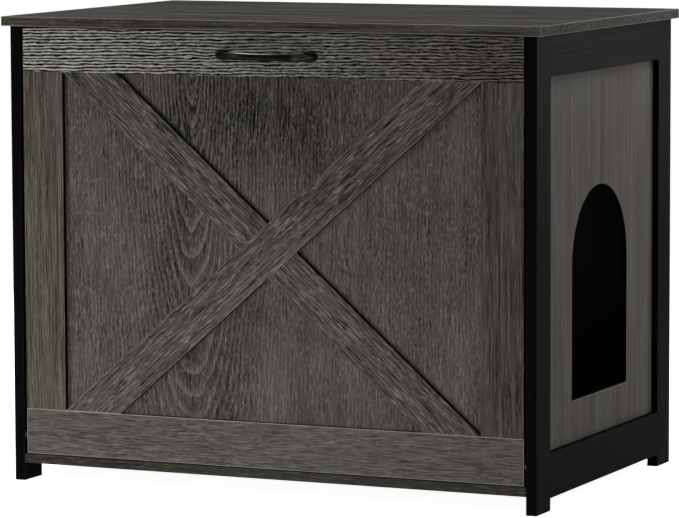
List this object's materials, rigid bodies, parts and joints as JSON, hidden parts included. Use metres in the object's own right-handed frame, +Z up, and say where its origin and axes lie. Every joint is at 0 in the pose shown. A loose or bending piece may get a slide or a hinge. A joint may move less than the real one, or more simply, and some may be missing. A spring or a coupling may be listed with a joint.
{
  "type": "cat litter box cabinet",
  "caption": "Free-standing cat litter box cabinet: flat overhanging top, black side frames, drop-down front door with an X brace and bow handle, arched cat entry in the right side panel.",
  "frame": {"origin": "Centre of the bounding box's footprint, at the level of the floor under the four feet. The footprint runs from the front of the handle to the rear edge of the top.", "axes": "+X to the right as seen by someone who faces the door, +Y to the back, +Z up. The door and its handle face -Y, and the cat's entry is in the +X side."},
  "size_m": [0.79, 0.5376, 0.638],
  "materials": {
    "top_laminate": "charcoal oak-grain laminate on particle board, satin, with a fine horizontal grain",
    "door_laminate": "charcoal-brown oak-grain laminate, brushed, with pores and cathedral figure",
    "side_laminate": "grey-brown oak-grain laminate, soft vertical grain",
    "black_laminate": "black satin laminate on particle board",
    "handle_black": "black satin lacquer on a zinc casting",
    "fitting_steel": "bright zinc-plated steel",
    "cam_zinc": "raw zinc casting",
    "fitting_nylon": "black moulded nylon",
    "dowel_beech": "plain turned beech"
  },
  "bodies": {
    "cabinet": {"top_panel": "top_laminate", "left_front_post": "black_laminate", "right_front_post": "black_laminate", "left_rear_post": "black_laminate", "right_rear_post": "black_laminate", "left_upper_rail": "black_laminate", "right_upper_rail": "black_laminate", "left_lower_rail": "black_laminate", "right_lower_rail": "black_laminate", "left_side_panel": "side_laminate", "right_side_panel": "side_laminate", "bottom_panel": "top_laminate", "back_panel": "side_laminate", "front_stretcher": "black_laminate", "rear_stretcher": "black_laminate", "left_front_stretcher_dowel": "dowel_beech", "left_rear_stretcher_dowel": "dowel_beech", "right_front_stretcher_dowel": "dowel_beech", "right_rear_stretcher_dowel": "dowel_beech", "bottom_left_front_cam": "cam_zinc", "bottom_left_front_cam_bolt": "fitting_steel", "top_left_front_cam": "cam_zinc", "top_left_front_cam_bolt": "fitting_steel", "bottom_left_rear_cam": "cam_zinc", "bottom_left_rear_cam_bolt": "fitting_steel", "top_left_rear_cam": "cam_zinc", "top_left_rear_cam_bolt": "fitting_steel", "bottom_right_front_cam": "cam_zinc", "bottom_right_front_cam_bolt": "fitting_steel", "top_right_front_cam": "cam_zinc", "top_right_front_cam_bolt": "fitting_steel", "bottom_right_rear_cam": "cam_zinc", "bottom_right_rear_cam_bolt": "fitting_steel", "top_right_rear_cam": "cam_zinc", "top_right_rear_cam_bolt": "fitting_steel", "left_magnet": "fitting_nylon", "left_pivot_bush": "fitting_nylon", "right_magnet": "fitting_nylon", "right_pivot_bush": "fitting_nylon"},
    "door": {"door_bottom_rail": "door_laminate", "door_top_rail": "door_laminate", "door_left_stile": "door_laminate", "door_right_stile": "door_laminate", "door_panel": "door_laminate", "brace_long": "door_laminate", "brace_upper_left": "door_laminate", "brace_lower_right": "door_laminate", "handle": "handle_black", "left_handle_screw": "fitting_steel", "left_strike_plate": "fitting_steel", "left_strike_screw": "fitting_steel", "left_pivot_pin": "fitting_steel", "right_handle_screw": "fitting_steel", "right_strike_plate": "fitting_steel", "right_strike_screw": "fitting_steel", "right_pivot_pin": "fitting_steel"}
  },
  "joints": [
    {"name": "door_hinge", "type": "hinge", "parent": "cabinet", "child": "door", "pos_m": [0, -0.23425, 0.06325], "axis": [1, 0, 0], "range_deg": [0, 90]}
  ]
}
